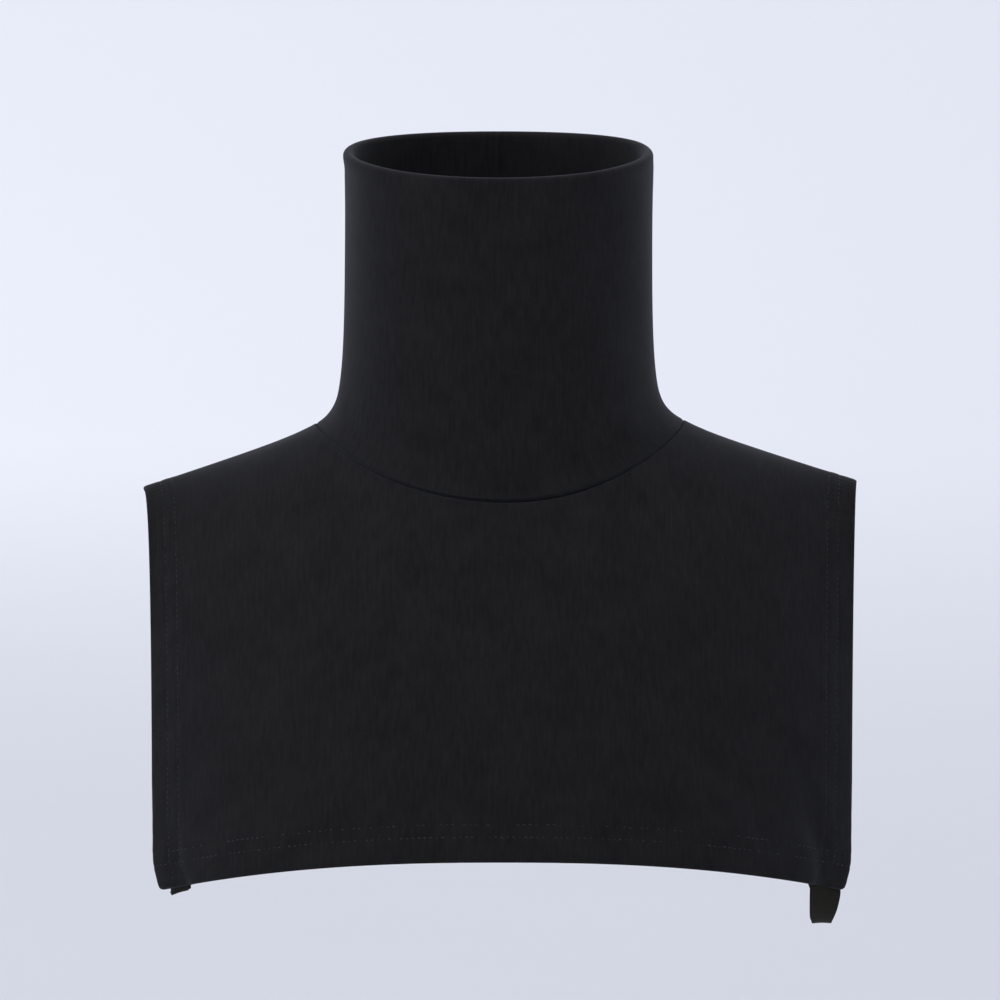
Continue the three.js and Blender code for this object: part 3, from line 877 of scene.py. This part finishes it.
def grain_mesh(centres, across, normals):
    """Grains of thread: rings of a few points round each centre line, flatter than wide, joined by quads
    and closed at the ends by two quads each."""
    count, rings = centres.shape[:2]
    angle = np.arange(GRAIN_SIDES) * 2 * math.pi / GRAIN_SIDES
    width = (GRAIN_WIDTH * THREAD_RADIUS)[None, :, None, None]
    around = np.cos(angle)[:, None] * across[:, :, None] + 0.8 * np.sin(angle)[:, None] * normals[:, :, None]
    points = centres[:, :, None] + width * around
    number = np.arange(count * rings * GRAIN_SIDES).reshape(count, rings, GRAIN_SIDES)
    right = np.roll(number, -1, axis=2)
    walls = quads(number[:, :-1], right[:, :-1], right[:, 1:], number[:, 1:])
    first, last = number[:, 0], number[:, -1]
    caps = [first[:, (3, 2, 1, 0)], first[:, (5, 4, 3, 0)], last[:, (0, 1, 2, 3)], last[:, (0, 3, 4, 5)]]
    return points.reshape(-1, 3), np.concatenate([walls, *caps])


def make_stitches(bib):
    """The stitches of a bib lie on its relief, and each follows its row. No two are drawn equally tight:
    each sinks a little into the cloth and strays a little to the side."""
    x, q = stitch_rows(bib)
    chance = np.random.default_rng(20)
    sink = chance.uniform(0, STITCH_SINK, (len(x), 1))
    stray = chance.normal(0, STITCH_STRAY / 2, (len(x), 1, 1))
    normals = fall_normal(bib, x, q)
    lift = bib_relief(bib, x, q) + GRAIN_LIFT - sink
    centres = fall_point(bib, x, q) + normals * lift[..., None]
    along = unit(np.gradient(centres, axis=1))
    across = unit(np.cross(normals, along))
    centres = centres + across * stray
    points, faces = grain_mesh(centres, across, normals)
    piece = make_mesh(bib["name"] + "_hem_stitches", points, faces, sharp=80)
    finish_piece(piece, bib["name"] + "_panel", thread)
    print(bib["name"], "bib:", len(x), "stitches,", len(faces) * 2, "triangles")
    return piece


stitches = {bib["name"]: make_stitches(bib) for bib in (FRONT, BACK)}

# %% [markdown]
# ## The elastic straps
#
# Under each arm a short elastic joins the corners of the two bibs. It hangs in a loop below them, one a
# little lower than the other. A physical simulation would find such a loop too, but a strap this short is
# settled by a few points of its route, which are those of the construction model, and a smooth curve. Its
# edges draw together on the way, because it looks narrower there. A real elastic keeps its width, and would
# turn or fold instead.

# %% Sizes and routes of the straps
STRAP_WALL = 1.5 * MM
HEM_WALL = 2.4 * MM
STRAP_CLEAR = 0.6 * MM
STRAP_OUTER = HEM_HALF - CORNER_INSET - 1.2 * MM
STRAP_INNER = STRAP_OUTER - 14.5 * MM
STRAP_SWING = 5.7 * MM
STRAP_BOW = 5 * MM
STRAP_OVERLAP = 12 * MM
STRAP_STRAIGHT = 3 * MM
RIGHT_SAG = 22 * MM
LEFT_SAG = 3.4 * MM

# Each stop: its place from the front hem (-1) to the back (1), the shares of the sag that the inner and the
# outer edge drop, the share of the swing that draws the outer edge in, and that of the bow of both edges.
RIGHT_ROUTE = np.array((
    (-1, 0, 0, 0, 0), (-0.97, 0.42, 0.4, 0.25, 0), (-0.88, 0.88, 0.78, 0.75, 0.1), (-0.7, 1, 0.85, 0.8, 0.25),
    (-0.3, 0.96, 0.84, 0.65, 0.6), (0.3, 0.72, 0.66, 0.4, 1), (0.8, 0.3, 0.28, 0.1, 0.5), (1, 0, 0, 0, 0)))
LEFT_ROUTE = np.array((
    (-1, 0, 0, 1, 0), (-0.9, 0.5, 0.5, 1, 0), (-0.6, 0.9, 0.9, 1, 0.2), (0, 1, 1, 1, 0.35),
    (0.6, 0.8, 0.8, 0.8, 0.3), (0.9, 0.35, 0.35, 0.6, 0.1), (1, 0, 0, 0.5, 0)))


def behind_cloth(bib, x, q, depth):
    """A point straight behind the cloth, as deep as its distance from the face."""
    place, share = np.array([x]), np.array([q])
    point = fall_point(bib, place, share)[0]
    point[1] -= depth / fall_normal(bib, place, share)[0, 1]
    return point


def smooth_curve(stops, count):
    """A curve through the stops: each is joined to the next by a cubic whose end slopes come from the stops
    round it, weighed by the roots of their distances, which keeps tight turns from swinging out."""
    stops = np.concatenate([[2 * stops[0] - stops[1]], stops, [2 * stops[-1] - stops[-2]]])
    gaps = np.maximum(np.linalg.norm(np.diff(stops, axis=0), axis=-1) ** 0.5, 1e-4)[:, None]
    steps = np.diff(stops, axis=0)
    slope = steps / gaps
    wide = (stops[2:] - stops[:-2]) / (gaps[1:] + gaps[:-1])
    start = (slope[:-2] - wide[:-1] + slope[1:-1]) * gaps[1:-1]
    end = (slope[1:-1] - wide[1:] + slope[2:]) * gaps[1:-1]
    place = np.linspace(0, len(stops) - 3, count)
    part = np.minimum(place.astype(int), len(stops) - 4)
    t = (place - part)[:, None]
    a, b = stops[1:-2][part], stops[2:-1][part]
    return ((2 * t**3 - 3 * t**2 + 1) * a + (t**3 - 2 * t**2 + t) * start[part]
            + (3 * t**2 - 2 * t**3) * b + (t**3 - t**2) * end[part])


# %% The straps
STRAP_POINTS = 150
STRAP_ACROSS = 15


def strap_edge(mirror, x, along, drop, shift):
    """One edge, x from the middle: inside the front hem, straight on below it, along the route, and into
    the back hem. The route's first and last shift outwards also hold inside the hems."""
    depth = HEM_WALL + STRAP_CLEAR
    ends = []
    for bib, outwards in ((FRONT, shift[0]), (BACK, shift[-1])):
        high = behind_cloth(bib, mirror * x - SIDE_SWAY, 1 - STRAP_OVERLAP / (3 * bib["fall"]), depth)
        hem = behind_cloth(bib, mirror * x - SIDE_SWAY, 1.0, depth)
        low = hem + (hem - high) * STRAP_STRAIGHT / STRAP_OVERLAP
        aside = np.array([mirror * outwards, 0, 0])
        ends.append((high + aside, hem + aside, low))
    (front_high, front_hem, front_low), (back_high, back_hem, back_low) = ends
    stops = lerp(front_low, back_low, (along[:, None] + 1) / 2)
    stops = stops + np.stack([mirror * shift, 0 * drop, -drop], axis=-1)
    stops = np.concatenate([[front_high, front_hem], stops, [back_hem, back_high]])
    return smooth_curve(stops, STRAP_POINTS)


def make_strap(name, mirror, sag, route):
    """A strap: straight rows between its two edges, slightly hollow across, as a sheet of its own. It comes
    seen from below, which is the face of the loop."""
    along, inner, outer, inset, bow = route.T
    loose = sag - STRAP_STRAIGHT
    near = strap_edge(mirror, STRAP_INNER, along, loose * inner, STRAP_BOW * bow)
    far = strap_edge(mirror, STRAP_OUTER, along, loose * outer, STRAP_BOW * bow - STRAP_SWING * inset)
    t = np.linspace(0, 1, STRAP_ACROSS)[None, :, None]
    face = lerp(near[:, None], far[:, None], t)
    face = face if mirror > 0 else face[:, ::-1]
    normal = grid_normals(face, False)
    face = face - normal * (0.25 * MM * np.sin(t * math.pi))
    down = np.concatenate([[0], np.cumsum(np.linalg.norm(np.diff(near, axis=0), axis=-1))])
    width = float(np.linalg.norm(far[0] - near[0]))
    flat = np.stack(np.broadcast_arrays(t[..., 0] * width, down[:, None]), axis=-1)
    piece = make_sheet(name + "_elastic", face, flat, thickness=STRAP_WALL)
    finish_piece(piece, name, elastic)
    print(name, "is", round(down[-1] / MM), "mm long and", round(width / MM, 1), "mm wide")
    return piece, (width, float(down[-1])), flat_area(face)


straps = [make_strap("side_strap_right", 1, RIGHT_SAG, RIGHT_ROUTE),
          make_strap("side_strap_left", -1, LEFT_SAG, LEFT_ROUTE)]

# %% [markdown]
# ## Floor and light
#
# Black cloth shows its form by what it reflects, so the studio around it is pale on all sides: a round
# floor that curves up far away, like a photographer's paper sweep. One soft light stands at the upper left,
# and another faces the paper behind. A wall behind the dickey would do for one view, but would stand in the
# way of a look from behind.

# %% The floor
FLOOR_HEIGHT = -0.62
FLOOR_FLAT = 7.0
FLOOR_RISE = 9.0
FLOOR_TOP = 8.0
# The floor's colours: darker near the middle, which is painted shade, and paler far out, which is painted
# light. Together they even out how brightly the lamps fall on the near and the far floor.
FLOOR_NEAR_PAINTED_SHADE = (0.67, 0.68, 0.71)
FLOOR_FAR_PAINTED_LIGHT = (0.82, 0.83, 0.86)
FLOOR_GRAIN = 0.1


def make_floor():
    """A disc that curves up into a wall: its profile is turned round the vertical axis."""
    t = np.linspace(0, 1, 60)[:, None]
    around = np.linspace(0, 2 * math.pi, 96, endpoint=False)[None, :]
    radius = (FLOOR_FLAT + FLOOR_RISE) * t
    rise = FLOOR_TOP * np.clip((radius - FLOOR_FLAT) / FLOOR_RISE, 0, 1) ** 2
    face = np.stack([radius * np.cos(around), radius * np.sin(around), FLOOR_HEIGHT + rise + 0 * around], -1)
    number = np.arange(face.shape[0] * face.shape[1]).reshape(face.shape[:2])
    right = np.roll(number, -1, axis=1)
    cells = quads(number[:-1], number[1:], right[1:], right[:-1])
    floor = make_mesh("studio_floor", face.reshape(-1, 3), cells)
    material, shader = new_material("pale_floor", FLOOR_FAR_PAINTED_LIGHT, 0.9, 0.0, (1, 1, 1))
    place = add_node(material, "ShaderNodeTexCoord").outputs["Object"]
    # The colour goes from the near one to the far one with the distance from the middle: painted shade near
    # it, painted light far out.
    reach = add_node(material, "ShaderNodeVectorMath", {"operation": "LENGTH"}, i0=place).outputs["Value"]
    reach = math_node(material, "DIVIDE", reach, FLOOR_FLAT, clamp=True)
    grain = times(material, noise(material, place, 3, 4), FLOOR_GRAIN)
    colour_between(material, shader, plus(material, reach, grain), FLOOR_NEAR_PAINTED_SHADE, FLOOR_FAR_PAINTED_LIGHT)
    floor.data.materials.append(material)
    return floor


floor = make_floor()

# %% The lights
# Each light: its place and the place it faces in metres, its size in metres, power in watts, and colour
LIGHTS = {
    "window_left": ((-3.4, -1.6, 2.6), (0, 0, -0.04), 2.4, 62, (0.95, 0.97, 1.0)),
    "paper_sweep": ((-2.6, 5.0, 3.4), (-1.0, 10.5, 1.0), 2.0, 72, (0.95, 0.97, 1.0)),
}


def make_light(name, place, aim, size, power, colour):
    """A square soft box at its place that faces its aim. What lies behind it gets none of its light."""
    data = bpy.data.lights.new(name, "AREA")
    data.shape, data.size, data.energy, data.color = "SQUARE", size, power, colour
    light = bpy.data.objects.new(name, data)
    light.location = place
    light.rotation_euler = (Vector(aim) - Vector(place)).to_track_quat("-Z", "Y").to_euler()
    bpy.context.scene.collection.objects.link(light)


for name, values in LIGHTS.items():
    make_light(name, *values)

world = bpy.data.worlds.new("studio_air")
world.use_nodes = True
world.node_tree.nodes["Background"].inputs["Color"].default_value = (0.90, 0.92, 1.0, 1)
world.node_tree.nodes["Background"].inputs["Strength"].default_value = 0.95
bpy.context.scene.world = world
bpy.context.scene.view_settings.view_transform = "Standard"
